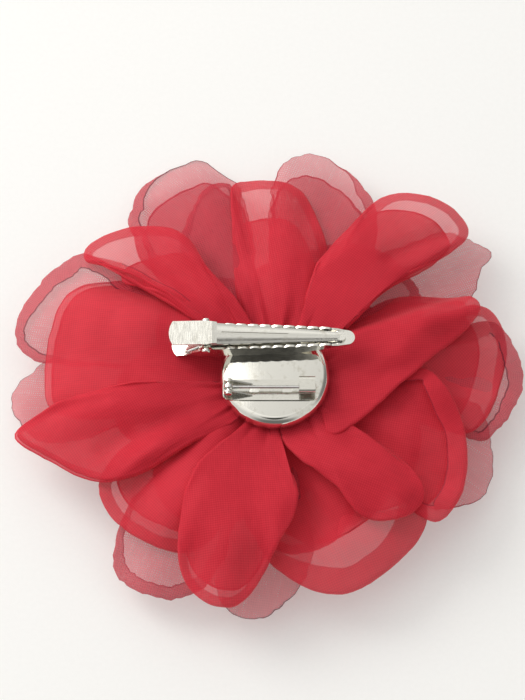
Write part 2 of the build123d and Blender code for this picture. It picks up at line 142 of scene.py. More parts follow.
# ---------------------------------------------------------------- node helpers
class Nodes:
    """Short ways to build a material's node tree."""

    def __init__(self, name):
        self.material = bpy.data.materials.new(name)
        self.material.use_nodes = True
        self.tree = self.material.node_tree
        self.tree.nodes.clear()
        self.output = self.add("ShaderNodeOutputMaterial")

    def add(self, kind, **settings):
        node = self.tree.nodes.new(kind)
        for key, value in settings.items():
            setattr(node, key, value)
        return node

    def link(self, source, target):
        self.tree.links.new(source, target)

    def feed(self, socket, value):
        """Sets a socket to a number or colour, or links an output to it."""
        if isinstance(value, bpy.types.NodeSocket):
            self.link(value, socket)
        elif value is not None:
            socket.default_value = value

    def math(self, operation, a, b=0.0, c=0.0, clamp=False):
        node = self.add("ShaderNodeMath", operation=operation, use_clamp=clamp)
        for socket, value in zip(node.inputs, (a, b, c)):
            self.feed(socket, value)
        return node.outputs[0]

    def remap(self, value, low, high, to_low=0.0, to_high=1.0):
        node = self.add("ShaderNodeMapRange", interpolation_type="SMOOTHSTEP")
        for socket, number in zip(node.inputs, (value, low, high, to_low, to_high)):
            self.feed(socket, number)
        return node.outputs[0]

    def blend(self, factor, a, b):
        node = self.add("ShaderNodeMix", data_type="RGBA")
        self.feed(node.inputs["Factor"], factor)
        self.feed(node.inputs["A"], a)
        self.feed(node.inputs["B"], b)
        return node.outputs["Result"]

    def noise(self, vector, scale, detail=3.0, roughness=0.55):
        node = self.add("ShaderNodeTexNoise")
        self.feed(node.inputs["Vector"], vector)
        node.inputs["Scale"].default_value = scale
        node.inputs["Detail"].default_value = detail
        node.inputs["Roughness"].default_value = roughness
        return node.outputs["Fac"]

    def stretch(self, vector, scale):
        node = self.add("ShaderNodeMapping")
        self.feed(node.inputs["Vector"], vector)
        node.inputs["Scale"].default_value = scale
        return node.outputs["Vector"]

    def bump(self, height, distance, strength=1.0, normal=None):
        node = self.add("ShaderNodeBump")
        node.inputs["Strength"].default_value = strength
        node.inputs["Distance"].default_value = distance
        self.feed(node.inputs["Height"], height)
        if normal is not None:
            self.feed(node.inputs["Normal"], normal)
        return node.outputs["Normal"]

    def place(self):
        return self.add("ShaderNodeTexCoord").outputs["Object"]


# ---------------------------------------------------------------- materials
THREAD_PITCH = 0.58 * MM
THREAD_WANDER = 0.55 * MM
SINGED_WIDTH = 0.25 * MM
SINGED_COLOUR = (0.10, 0.004, 0.02, 1)


def chiffon(name, light, deep, opacity, glow=0.22, singe=0.85):
    """Sheer crepe cloth with fine crossed threads, which lets light through, and a dark singed edge."""
    n = Nodes(name)
    uv = n.add("ShaderNodeUVMap", uv_map="cloth").outputs["UV"]
    split = n.add("ShaderNodeSeparateXYZ")
    n.link(uv, split.inputs[0])
    across, along = split.outputs[0], split.outputs[1]  # metres of cloth
    wander = n.noise(uv, 260, 2)
    thread = 2 * math.pi / THREAD_PITCH

    def yarn(run):
        swayed = n.math("MULTIPLY_ADD", wander, THREAD_WANDER, run)
        return n.math("MULTIPLY_ADD", n.math("SINE", n.math("MULTIPLY", swayed, thread)), 0.5, 0.5)

    weave = n.math("MULTIPLY_ADD", yarn(across), 0.45, n.math("MULTIPLY", yarn(along), 0.55))
    crinkle = n.noise(n.stretch(uv, (900, 260, 1)), 1.0, 4)
    patches = n.noise(n.place(), 55, 3)
    rim = n.add("ShaderNodeAttribute", attribute_name="rim").outputs["Fac"]
    ragged = n.math("MULTIPLY_ADD", n.noise(uv, 1500, 2), 0.35 * MM, 0.05 * MM)
    singed = n.remap(n.math("SUBTRACT", rim, ragged), 0.0, SINGED_WIDTH, 1.0, 0.0)

    tone = n.math("MULTIPLY_ADD", weave, 0.24, n.math("MULTIPLY", patches, 0.76))
    colour = n.blend(n.remap(tone, 0.25, 0.75), deep, light)
    colour = n.blend(n.math("MULTIPLY", singed, singe), colour, SINGED_COLOUR)
    cover = n.math("MULTIPLY_ADD", weave, 0.08, opacity - 0.04)
    cover = n.math("MULTIPLY_ADD", n.math("SUBTRACT", crinkle, 0.5), 0.14, cover)
    cover = n.math("MAXIMUM", cover, n.math("MULTIPLY", singed, singe), clamp=True)

    relief = n.math("MULTIPLY_ADD", weave, 0.18, crinkle)
    normal = n.bump(relief, 0.16 * MM, 0.45)
    shader = n.add("ShaderNodeBsdfPrincipled")
    n.feed(shader.inputs["Base Color"], colour)
    n.feed(shader.inputs["Roughness"], n.remap(weave, 0, 1, 0.78, 0.6))
    n.feed(shader.inputs["Normal"], normal)
    shader.inputs["Sheen Weight"].default_value = 0.25
    shader.inputs["Sheen Roughness"].default_value = 0.4
    shader.inputs["Sheen Tint"].default_value = (1.0, 0.45, 0.45, 1)
    shader.inputs["Specular IOR Level"].default_value = 0.25
    lit_through = n.add("ShaderNodeBsdfTranslucent")
    n.feed(lit_through.inputs["Color"], colour)
    n.feed(lit_through.inputs["Normal"], normal)
    cloth = n.add("ShaderNodeMixShader")
    cloth.inputs[0].default_value = glow
    n.link(shader.outputs[0], cloth.inputs[1])
    n.link(lit_through.outputs[0], cloth.inputs[2])
    see_through = n.add("ShaderNodeBsdfTransparent")
    whole = n.add("ShaderNodeMixShader")
    n.link(cover, whole.inputs[0])
    n.link(see_through.outputs[0], whole.inputs[1])
    n.link(cloth.outputs[0], whole.inputs[2])
    n.link(whole.outputs[0], n.output.inputs["Surface"])
    return n.material


def fuzzy_cloth(name, light, deep, scale, depth):
    """Felt, thread or bundled cloth: matt, with a fine fibrous bump."""
    n = Nodes(name)
    fibres = n.noise(n.place(), scale, 6, 0.7)
    patches = n.noise(n.place(), scale * 0.08, 3)
    shader = n.add("ShaderNodeBsdfPrincipled")
    tone = n.math("MULTIPLY_ADD", fibres, 0.6, n.math("MULTIPLY", patches, 0.4))
    n.feed(shader.inputs["Base Color"], n.blend(n.remap(tone, 0.3, 0.7), deep, light))
    n.feed(shader.inputs["Roughness"], n.remap(fibres, 0.3, 0.7, 0.95, 0.75))
    n.feed(shader.inputs["Normal"], n.bump(fibres, depth))
    shader.inputs["Sheen Weight"].default_value = 0.4
    n.link(shader.outputs[0], n.output.inputs["Surface"])
    return n.material


NICKEL_TINT = (0.83, 0.815, 0.75, 1)
BRUSH_LINES = (0.42, 0.41, 0.37, 1)
DOME_RADIUS = 12 * MM


def nickel(name, brushed=0.0, brushed_to=None, shine=0.09, tint=NICKEL_TINT, ripple=0.2, dome=0.0):
    """Bright plated metal: slight waviness, hairline scratches and faint smears.

    brushed_to: brush lines lie on what is on the -x side of this x. dome: millimetres that the surface seems
    to fall at DOME_RADIUS from the hub.
    """
    n = Nodes(name)
    place = n.place()
    smears = n.noise(place, 420, 4)
    wave = n.noise(place, 260, 2)
    scratches = n.noise(n.stretch(place, (7000, 350, 350)), 1.0, 3, 0.7)
    shader = n.add("ShaderNodeBsdfPrincipled")
    dull = (tint[0] * 0.82, tint[1] * 0.80, tint[2] * 0.76, 1)
    colour = n.blend(n.remap(smears, 0.52, 0.78), tint, dull)
    if brushed_to:
        split = n.add("ShaderNodeSeparateXYZ")
        n.link(place, split.inputs[0])
        pad = n.remap(split.outputs[0], brushed_to - 1.5 * MM, brushed_to, 1.0, 0.0)
        lines = n.math("MULTIPLY", pad, n.remap(scratches, 0.40, 0.66, 0.0, 0.75))
        colour = n.blend(lines, colour, BRUSH_LINES)
    n.feed(shader.inputs["Base Color"], colour)
    shader.inputs["Metallic"].default_value = 1.0
    low, high = shine + 0.22 * brushed, shine + 0.07 + 0.34 * brushed
    n.feed(shader.inputs["Roughness"], n.remap(smears, 0.3, 0.75, low, high))
    normal = n.bump(wave, 0.1 * MM, ripple)
    if dome:
        from_hub = n.add("ShaderNodeVectorMath", operation="DISTANCE")
        n.link(n.stretch(place, (1, 1, 0)), from_hub.inputs[0])
        from_hub.inputs[1].default_value = (HUB.x, HUB.y, 0)
        fall = n.math("POWER", n.math("DIVIDE", from_hub.outputs["Value"], DOME_RADIUS), 2)
        normal = n.bump(n.math("MULTIPLY", fall, -dome * MM), 1.0, 1.0, normal)
    normal = n.bump(scratches, (0.02 + 0.06 * brushed) * MM, 0.25 + 0.6 * brushed, normal)
    n.feed(shader.inputs["Normal"], normal)
    n.link(shader.outputs[0], n.output.inputs["Surface"])
    return n.material


def set_glue(name):
    """Cloudy hot-melt glue."""
    n = Nodes(name)
    cloud = n.noise(n.place(), 300, 3)
    shader = n.add("ShaderNodeBsdfPrincipled")
    n.feed(shader.inputs["Base Color"], n.blend(cloud, (0.80, 0.75, 0.62, 1), (0.90, 0.87, 0.80, 1)))
    n.feed(shader.inputs["Roughness"], n.remap(cloud, 0.3, 0.7, 0.25, 0.45))
    n.feed(shader.inputs["Normal"], n.bump(cloud, 0.2 * MM))
    n.link(shader.outputs[0], n.output.inputs["Surface"])
    return n.material


def pale_floor(name):
    """Pale grey that gives off a little light, as a floor does in a bright room."""
    n = Nodes(name)
    grain = n.noise(n.place(), 900, 3)
    shader = n.add("ShaderNodeBsdfPrincipled")
    n.feed(shader.inputs["Base Color"], n.blend(grain, (0.64, 0.637, 0.628, 1), (0.68, 0.677, 0.667, 1)))
    shader.inputs["Roughness"].default_value = 0.7
    shader.inputs["Specular IOR Level"].default_value = 0.2
    shader.inputs["Emission Color"].default_value = (1.0, 0.995, 0.975, 1)
    shader.inputs["Emission Strength"].default_value = 0.27
    n.link(shader.outputs[0], n.output.inputs["Surface"])
    return n.material


PAD_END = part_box("clip_pivot_pin")[1].x + 1.5 * MM
RED_LIGHT, RED_DEEP = (0.80, 0.040, 0.070, 1), (0.66, 0.024, 0.048, 1)
SHEER_LIGHT, SHEER_DEEP = (0.66, 0.055, 0.085, 1), (0.54, 0.03, 0.06, 1)
MATERIALS = {
    "back": chiffon("chiffon_back", RED_LIGHT, RED_DEEP, 0.70, singe=0.5),
    "lining": chiffon("chiffon_lining", RED_LIGHT, RED_DEEP, 0.80, singe=0.0),
    "sheer": chiffon("chiffon_sheer", SHEER_LIGHT, SHEER_DEEP, 0.62),
    "face": chiffon("chiffon_face", RED_LIGHT, RED_DEEP, 0.72),
    "core": fuzzy_cloth("bundled_chiffon", (0.45, 0.012, 0.03, 1), (0.25, 0.004, 0.015, 1), 1800, 0.2 * MM),
    "felt": fuzzy_cloth("red_felt", (0.42, 0.015, 0.03, 1), (0.30, 0.008, 0.02, 1), 2600, 0.25 * MM),
    "thread": fuzzy_cloth("red_thread", (0.50, 0.02, 0.04, 1), (0.30, 0.006, 0.02, 1), 5000, 0.08 * MM),
    "disc": nickel("nickel_disc", shine=0.04, ripple=0.12, dome=0.5),
    "brooch": nickel("nickel_brooch", shine=0.15, tint=(0.74, 0.725, 0.66, 1)),
    "needle": nickel("needle_steel", shine=0.14, tint=(0.80, 0.79, 0.77, 1)),
    "jaw": nickel("nickel_clip", shine=0.10),
    "lever": nickel("nickel_lever", shine=0.10, brushed=0.25, brushed_to=PAD_END,
                    tint=(0.78, 0.765, 0.705, 1)),
    "spring": nickel("spring_steel", shine=0.2, tint=(0.66, 0.65, 0.63, 1)),
    "glue": set_glue("set_glue"),
}


# ---------------------------------------------------------------- petals
def smooth_noise(x, y, z):
    """Smooth noise, about -1 to 1."""
    return noise.noise(Vector((x, y, z)))


def ease(value, low, high):
    """0 below low, 1 above high, smooth between."""
    t = min(max((value - low) / (high - low), 0), 1)
    return t * t * (3 - 2 * t)


class Solid:
    """What a petal's CAD solid says about it: direction, reach, half width, and height at each distance."""

    def __init__(self, node):
        points = np.array([v.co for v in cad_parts[node].data.vertices], float)
        flat = (points[:, :2] - np.array(HUB[:2])) / MM
        distance = np.hypot(flat[:, 0], flat[:, 1])
        tip = flat[distance.argmax()]
        self.angle = math.atan2(tip[1], tip[0])
        self.reach = distance.max()
        self.half = abs(flat @ np.array((-math.sin(self.angle), math.cos(self.angle)))).max()
        self.profile = np.polyfit(distance, points[:, 2] / MM, 2)

    def height(self, distance):
        return float(np.polyval(self.profile, distance))

    def outline(self):
        """A plain round-tipped outline, for petals that no picture shows."""
        middle = self.reach - self.half
        rim = []
        for step in range(-4, 5):
            turn = math.radians(32 * step)
            x, y = 0.80 * middle + self.half * math.cos(turn), 1.1 * self.half * math.sin(turn)
            rim.append((x * math.cos(self.angle) - y * math.sin(self.angle),
                        x * math.sin(self.angle) + y * math.cos(self.angle)))
        return rim


# How each petal lies, in millimetres from the hub, +x to the clip's tip and +y from brooch to clip.
# outline: its rim from the right of its root, round its tip, to the left of its root, seen looking outwards.
# curl: width of the rolled rim, at places spaced evenly from the right root to the left one.
# over: the rim rolls up, not under. lift: rise of the rim, at places spaced like those of curl.
# crown: rise of the middle. rise: rise of the whole petal. lining: size of its second layer, if it has one.
# folds: ridges (+) and valleys (-) along a line, as (x1, y1, x2, y2, height, width).
# steps: ground lowered on the left of a line, as (x1, y1, x2, y2, drop, width).
# pleat, ruffle, crimp: height of the waves at the root, towards the rim, and close to the cut edge.
# fray: how far the cut edge wanders. crimp and fray depend on whether the petal is sheer.
DEFAULTS = dict(outline=None, curl=(2.2, 2.2, 2.2), over=False, lift=(0, 0, 0), crown=1.5, rise=0.0, folds=(),
                steps=(), lining=None, pleat=0.45, ruffle=0.5)

STYLES = {
    "back_petal_01": dict(
        outline=[(13, -15), (17, -15), (26, -8), (38, 4), (49, 14), (53, 21), (48, 25), (32, 25),
                 (23, 21), (14, 10)],
        curl=(2.2, 3.0, 2.2), lift=(3.0, 1.5, -2.0), crown=1.5, rise=0.5, lining=0.94,
        folds=[(14, 3, 50, 19, 2.4, 5), (24, -2, 44, 8, -1.0, 4)], steps=[(12, 6, 51, 24, 3.6, 5)]),
    "back_petal_02": dict(
        outline=[(20, 15), (29, 24), (42, 34), (50, 42), (49, 49), (42, 54), (29, 54), (20, 44),
                 (11, 32), (7, 17)],
        lift=(2.6, 0.5, 1.0), crown=3.2, rise=1.2, lining=0.90,
        folds=[(12, 22, 40, 44, 1.0, 7), (30, 33, 44, 42, -1.2, 2.5)]),
    "back_petal_03": dict(
        outline=[(-3, 10), (-9, 21), (-17, 30), (-22, 39), (-30, 44), (-39, 44), (-48, 40), (-49, 35),
                 (-43, 32), (-33, 26), (-20, 17), (-10, 9)],
        lift=(2.0, 1.0, 5.0), crown=0.5, rise=1.0, lining=0.80,
        folds=[(-8, 12, -34, 36, -1.2, 4), (-14, 24, -26, 40, 1.2, 3)]),
    "back_petal_04": dict(
        outline=[(-14, 0), (-22, -1), (-40, -2), (-57, -6), (-66, -12), (-58, -19), (-44, -27), (-33, -25),
                 (-23, -19), (-9, -11)],
        curl=(2.2, 2.2, 1.5, 2.2, 2.2), lift=(3.4, 1.0, 1.0), crown=2.2, lining=1.01,
        folds=[(-18, -4, -52, -9, 1.4, 5), (-22, -11, -42, -18, -1.8, 4), (-17, -8, -34, -22, 0.8, 3)]),
    "back_petal_05": dict(
        outline=[(-7, -12), (-18, -22), (-23, -33), (-24, -50), (-17, -59), (-8, -59), (0, -47), (6, -33),
                 (1, -22), (-1, -13)],
        lift=(2.5, 0.8, 3.5), crown=2.6, rise=0.8, lining=0.93,
        folds=[(-4, -16, -14, -52, 1.0, 8), (-1, -22, 0, -44, 1.5, 4)]),
    "back_petal_06": dict(
        outline=[(0, -13), (5, -21), (15, -29), (22, -37), (33, -37), (38, -30), (32, -21), (20, -14),
                 (14, -9)],
        lift=(3.0, 1.5, 0.5), crown=2.2, rise=-0.6, lining=0.93,
        folds=[(8, -16, 32, -32, 1.4, 5), (20, -18, 34, -24, -1.0, 3)]),
    "back_petal_07": dict(
        outline=[(22, -2), (46, -12), (54, -8), (58, 2), (60, 12), (58, 21), (52, 24), (42, 19), (20, 8)],
        curl=(0.6, 1.0, 2.2, 2.2, 3.0), lift=(-2.5, -1.0, 0.0, 0.8, 1.5), crown=1.2, lining=0.88,
        folds=[(20, 2, 54, 2, -1.4, 4), (30, 10, 56, 12, 1.2, 3)]),
    "back_petal_08": dict(
        outline=[(9, 12), (14, 34), (10, 51), (5, 58), (-4, 60), (-11, 59), (-11, 46), (-10, 25), (-5, 9)],
        lift=(1.5, 0.0, 0.5), crown=2.4, lining=0.80,
        folds=[(-4, 14, -8, 56, -1.8, 3.5), (3, 14, 4, 54, 1.2, 5)]),
    "back_petal_09": dict(
        outline=[(-9, 13), (-29, 28), (-43, 31), (-53, 28), (-57, 20), (-59, 8), (-57, -6), (-40, -9),
                 (-14, -5)],
        curl=(2.2, 2.2, 1.0, 0.7, 0.7, 0.7, 2.0), lift=(0.0, 0.8, 0.0), crown=4.2, rise=0.4, lining=0.97,
        folds=[(-24, 12, -44, 18, 1.6, 8), (-14, 13, -44, 33, -2.6, 4.5)]),
    "back_petal_10": dict(
        outline=[(-13, -5), (-34, -14), (-44, -24), (-43, -33), (-35, -41), (-24, -45), (-14, -40),
                 (-5, -13)],
        curl=(2.2, 3.0, 2.4), lift=(0.5, 1.5, 1.0), crown=1.8, lining=0.90,
        folds=[(-12, -12, -26, -38, 1.4, 5), (-16, -10, -36, -28, -1.2, 3.5)]),
    "back_petal_11": dict(
        outline=[(-3, -13), (-6, -38), (4, -52), (19, -55), (32, -46), (39, -34), (31, -20), (12, -11)],
        curl=(2.2, 6.5, 6.0), lift=(0, 1.5, 1.0), crown=0.0, rise=-1.0, lining=0.77,
        folds=[(2, -16, 8, -40, -2.4, 7), (8, -44, 26, -42, 1.5, 6)]),
    "back_petal_12": dict(
        outline=[(13, -11), (30, -30), (40, -37), (46, -32), (49, -23), (48, -10), (43, 0), (36, 4),
                 (14, -3)],
        curl=(0.7, 1.0, 4.0, 5.2, 5.5, 3.0, 0.7), over=True, lift=(0, 0.5, 1.5, 1.5, 0.8, 0.0), crown=0.3,
        rise=-0.3, lining=0.90,
        folds=[(18, -12, 42, -26, -1.5, 4)]),
    "sheer_petal_01": dict(
        outline=[(20, -4), (49, -13), (56, -11), (62, -3), (64, 6), (61, 15), (55, 20), (42, 14), (14, 4)],
        curl=(0.5, 2.0, 4.0, 4.0, 3.0), over=True, lift=(-2.0, 0.0, 2.0, 1.5, 0.5)),
    "sheer_petal_02": dict(
        outline=[(14, 6), (32, 15), (50, 26), (54, 36), (57, 42), (50, 45), (40, 45), (20, 32), (9, 12)],
        curl=(0.6, 0.6, 1.2), lift=(0, 1.5, 0.5), ruffle=0.9),
    "sheer_petal_03": dict(
        outline=[(12, 12), (25, 36), (26, 53), (21, 63), (14, 69), (7, 70), (1, 64), (-2, 47), (2, 14)],
        curl=(1.0, 2.4, 2.2, 0.6, 0.6, 0.6, 0.6), lift=(1.5, 1.0, 0), lining=0.90),
    "sheer_petal_04": dict(
        outline=[(1, 14), (-7, 37), (-9, 53), (-13, 61), (-19, 58), (-23, 48), (-24, 38), (-9, 12)],
        curl=(1.0, 1.5, 1.8), crown=2.5, lift=(1, 0.5, 1)),
    "sheer_petal_05": dict(
        outline=[(-9, 13), (-32, 26), (-45, 37), (-52, 39), (-60, 33), (-65, 26), (-67, 18),
                 (-64, 11), (-54, 7), (-14, 1)],
        curl=(3.0, 3.0, 4.2, 5.0, 4.0, 2.0, 1.2, 0.6, 0.6), over=True, lift=(2.0, 2.5, 1.0)),
    "sheer_petal_06": dict(
        outline=[(-12, -8), (-36, -30), (-41, -42), (-38, -51), (-30, -55), (-20, -54), (-13, -45),
                 (-5, -13)],
        curl=(0.8, 0.8, 2.0, 3.4, 3.2, 1.5, 1.2), lift=(0, 1.0, 0)),
    "sheer_petal_07": dict(
        outline=[(4, -13), (10, -30), (17, -36), (25, -32), (28, -22), (12, -8)],
        curl=(0.6, 0.6, 0.6), rise=-3.0),
    "sheer_petal_09": dict(
        outline=[(-3, 13), (-7, 53), (-14, 66), (-20, 69), (-28, 66), (-36, 60), (-38, 50), (-33, 36),
                 (-9, 12)],
        curl=(0.6, 0.6, 0.6, 0.6, 0.7, 3.0, 3.2, 2.0, 1.0), over=True, lift=(0, 1.5, 2.0), ruffle=1.1,
        lining=0.90),
    "sheer_petal_10": dict(
        outline=[(-13, 3), (-53, 11), (-63, 8), (-68, 2), (-65, -7), (-54, -12), (-14, -5)],
        curl=(0.5, 0.5, 0.5), lift=(0, 1.0, 0), ruffle=0.9),
    "sheer_petal_11": dict(
        outline=[(-3, -13), (-14, -45), (-13, -57), (-2, -60), (7, -51), (10, -40), (5, -13)],
        curl=(0.5, 0.5, 0.5), lift=(0, 1.5, 0), ruffle=1.0),
    "sheer_petal_12": dict(
        outline=[(11, -10), (32, -27), (43, -31), (52, -28), (56, -20), (55, -9), (48, 0), (14, -1)],
        curl=(0.6, 0.6, 0.6), lift=(0, 1.5, 0), ruffle=0.8),
}

SINGED_EDGE, PLAIN_EDGE = dict(fray=0.45, crimp=1.1), dict(fray=0.12, crimp=0.2)

COLUMNS, ROWS, ROLL_ROWS = 96, 30, 12  # cloth grid: along the rim, out to the rim, and round its roll
ROLL = 0.7  # radius of a rolled rim, mm
ROOT_RADIUS = 10.3  # where the cloth disappears under the felt, mm from the hub
ROOT_SPREAD = math.radians(20)
GATHER_PLACE, GATHER_WIDTH = 0.16, 0.26  # where the pleats are, as shares of the way from root to rim
PLEAT_WAVES, RUFFLE_WAVES = 3.4, 5.5  # waves across a petal
CRIMP_REACH = 2.5  # mm in from the cut edge
CEILING, CEILING_SLOPE = 20.9, 0.16  # height in mm that keeps cloth below the clip, and its rise outwards
CEILING_START, CEILING_SOFT = 15, 0.5  # mm from the hub where it starts to rise, and how soft it is, in mm
LOWEST = 0.25  # mm above the floor


def spline(points, count):
    """Evenly spaced points on a smooth curve through a few points."""
    knots = [np.array(p, float) for p in points]
    knots = [2 * knots[0] - knots[1]] + knots + [2 * knots[-1] - knots[-2]]
    dense = []
    for a, b, c, d in zip(knots, knots[1:], knots[2:], knots[3:]):
        for t in np.linspace(0, 1, 20, endpoint=False):
            dense.append(0.5 * (2 * b + (c - a) * t + (2 * a - 5 * b + 4 * c - d) * t ** 2
                                + (3 * b - a - 3 * c + d) * t ** 3))
    dense.append(knots[-2])
    dense = np.array(dense)
    gone = np.concatenate([[0], np.cumsum(np.hypot(*np.diff(dense, axis=0).T))])
    even = np.linspace(0, gone[-1], count)
    return np.column_stack([np.interp(even, gone, dense[:, k]) for k in (0, 1)])


def by_side(values, b):
    """A value for b from -1, right, to 1, left, between values evenly spaced along the rim."""
    place = (b + 1) / 2 * (len(values) - 1)
    before = min(int(place), len(values) - 2)
    return values[before] + (values[before + 1] - values[before]) * ease(place - before, 0, 1)


def along_line(x, y, line):
    """Distance from a piece of a line, and from the whole line with a sign, + on its left."""
    x1, y1, x2, y2 = line
    length = math.hypot(x2 - x1, y2 - y1)
    ux, uy = (x2 - x1) / length, (y2 - y1) / length
    along = ((x - x1) * ux + (y - y1) * uy) / length
    side = (y - y1) * ux - (x - x1) * uy
    past = max(-along, along - 1, 0) * length
    return math.hypot(side, past), side


def ground(x, y, solid, style, seed):
    """Height of a petal, in mm, at a place x, y mm from the hub, without its rim's lift."""
    distance = math.hypot(x, y)
    out = ease(distance, 12, 26)
    z = solid.height(distance) + style["rise"] * out
    for *line, height, width in style["folds"]:
        gap, _ = along_line(x, y, line)
        z += height * math.exp(-((gap / width) ** 2)) * out
    for *line, drop, width in style["steps"]:
        _, side = along_line(x, y, line)
        z -= drop * ease(side, 0, width) * out
    z += 0.8 * out * smooth_noise(x / 13, y / 13, seed) + 0.3 * out * smooth_noise(x / 5, y / 5, seed + 9)
    return z


def waves(b, share, out, style, seed):
    """Height of the pleats near the root and of the ruffle near the rim, in mm."""
    gather = math.exp(-(((share - GATHER_PLACE) / GATHER_WIDTH) ** 2))
    pleat = math.cos(PLEAT_WAVES * math.pi * b + seed) + 0.5 * smooth_noise(7 * b, 2 * share, seed)
    ruffle = math.sin(RUFFLE_WAVES * math.pi * b + seed) + 1.5 * smooth_noise(6 * b, seed, 4)
    return style["pleat"] * gather * pleat + style["ruffle"] * share ** 4 * out * ruffle


def under_ceiling(z, distance):
    """A height bent softly below the ceiling that keeps the cloth under the clip; lower ones stay as they are."""
    ceiling = CEILING + CEILING_SLOPE * max(distance - CEILING_START, 0)
    if z <= ceiling - 8 * CEILING_SOFT:
        return z
    return ceiling - CEILING_SOFT * math.log(1 + math.exp((ceiling - z) / CEILING_SOFT))


def petal_grid(solid, style, seed, size=1.0, drop=0.0):
    """Lines of points from root to cut edge, with their places in the cloth and distances from the edge."""
    rim = spline(style["outline"] or solid.outline(), COLUMNS + 1)
    far = np.hypot(rim[:, 0], rim[:, 1])
    shrink = np.array([1 - (1 - size) * ease(d, 13, 30) for d in far])
    rim = rim * shrink[:, None]
    tangent = np.gradient(rim, axis=0)
    inward = np.column_stack([-tangent[:, 1], tangent[:, 0]])
    inward /= np.hypot(inward[:, 0], inward[:, 1])[:, None]
    over = 1 if style["over"] else -1
    bias = solid.angle + 0.3 * math.sin(seed)
    grain = np.array(((-math.sin(bias), math.cos(bias)), (math.cos(bias), math.sin(bias))))
    points, cloth, rims = [], [], []
    for i in range(COLUMNS + 1):
        b = 2 * i / COLUMNS - 1
        ragged = style["fray"] * (smooth_noise(0.9 * i, seed, 5) + 2.0 * smooth_noise(0.25 * i, seed, 8))
        edge = rim[i] - inward[i] * ragged
        root_angle = solid.angle + b * ROOT_SPREAD
        root = ROOT_RADIUS * np.array((math.cos(root_angle), math.sin(root_angle)))
        fold = edge + inward[i] * ROLL
        length = float(np.hypot(*(fold - root)))
        steep = float(inward[i] @ (root - fold)) / length
        near = ease(float(np.hypot(*edge)), 13, 22)
        rolled = by_side(style["curl"], b) * (1 + 0.3 * smooth_noise(0.12 * i, seed, 7)) * near
        arc = min(math.pi, rolled / ROLL * 1.2)
        back = max(rolled - 0.6 * ROLL, 0)
        total = length + arc * ROLL + back
        lift = by_side(style["lift"], b)
        for j in range(ROWS + ROLL_ROWS + 1):
            if j <= ROWS:
                share = j / ROWS
                share = share * (1.25 - 0.25 * share)
                flat = root + (fold - root) * share
                sink, s = 0.0, share * length
            else:
                q = (j - ROWS) / ROLL_ROWS
                s = length + q * (arc * ROLL + back)
                bend = min((s - length) / ROLL, arc)
                beyond = max(s - length - arc * ROLL, 0)
                inside = beyond - ROLL * math.sin(bend)
                flat = fold + inward[i] * inside
                share = 1 - inside * steep / length
                sink = ROLL * (1 - math.cos(bend)) + 0.04 * beyond
            x, y = flat
            distance = math.hypot(x, y)
            out = ease(distance, 13, 28)
            z = ground(x, y, solid, style, seed)
            z += style["crown"] * out * math.sin(math.pi * min(share, 1) ** 0.8) * (1 - 0.4 * b * b)
            z += lift * out * share ** 2
            z += waves(b, share, out, style, seed)
            from_edge = (total - s) / CRIMP_REACH
            crimp = smooth_noise(0.55 * i, 0.3 * from_edge, seed + 3)
            z += style["crimp"] * out * math.exp(-from_edge) * crimp
            z = under_ceiling(z, distance) + over * sink - drop
            points.append((HUB.x + x * MM, HUB.y + y * MM, max(z, LOWEST) * MM))
            spread = flat if j <= ROWS else fold - inward[i] * (s - length)
            cloth.append((float(spread @ grain[0]) * MM, float(spread @ grain[1]) * MM))
            rims.append((total - s) * MM)
    return points, cloth, rims


def smooth_piece(name, points, faces):
    """A smooth-shaded object made from points and faces."""
    mesh = bpy.data.meshes.new(name)
    mesh.from_pydata(points, [], faces)
    mesh.polygons.foreach_set("use_smooth", [True] * len(mesh.polygons))
    piece = bpy.data.objects.new(name, mesh)
    bpy.context.scene.collection.objects.link(piece)
    return piece


def sheet_mesh(name, points, cloth, rims, columns, rows):
    """A smooth sheet through a grid of points, with its cloth map and its distance from the cut edge."""
    step = rows + 1
    faces = [
        (i * step + j, (i + 1) * step + j, (i + 1) * step + j + 1, i * step + j + 1)
        for i in range(columns)
        for j in range(rows)
    ]
    piece = smooth_piece(name, points, faces)
    layer = piece.data.uv_layers.new(name="cloth")
    for loop in piece.data.loops:
        layer.data[loop.index].uv = cloth[loop.vertex_index]
    piece.data.attributes.new("rim", "FLOAT", "POINT").data.foreach_set("value", rims)
    return piece


def make_petal(node, material, seed, size=1.0, drop=0.0, suffix="sheet"):
    """One layer of a petal; a lining is smaller, lies lower and has a narrow rim rolled under."""
    edge = SINGED_EDGE if material == "sheer" else PLAIN_EDGE
    style = {**DEFAULTS, **edge, **STYLES.get(node, {})}
    if suffix == "lining":
        style.update(curl=(0.9, 0.9), over=False)
    solid = Solid(node)
    points, cloth, rims = petal_grid(solid, style, seed, size, drop)
    piece = sheet_mesh(f"{node}_{suffix}", points, cloth, rims, COLUMNS, ROWS + ROLL_ROWS)
    piece.data.materials.append(MATERIALS[material])
    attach(piece, ROOT_BODY)
    if suffix == "sheet":
        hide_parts(node)


def make_petals():
    """All petals but the bud's: back ones are two layers, some sheer ones too, and the rest are one."""
    for node in sorted(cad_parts):
        seed = sum(ord(letter) for letter in node) * 0.37
        lining = STYLES.get(node, {}).get("lining")
        if node.startswith("back_petal"):
            make_petal(node, "back", seed)
            make_petal(node, "lining", seed, lining, 0.8, "lining")
        elif node.startswith("sheer_petal"):
            make_petal(node, "sheer", seed)
            if lining:
                make_petal(node, "sheer", seed, lining, 0.6, "lining")
        elif node.startswith(("face_petal", "inner_petal")):
            make_petal(node, "face", seed)


# ---------------------------------------------------------------- the flower's core, thread, felt and bud
BUD_WIDTH, BUD_HEIGHT = 16 * MM, 11 * MM
BUD_ARC = math.radians(150)


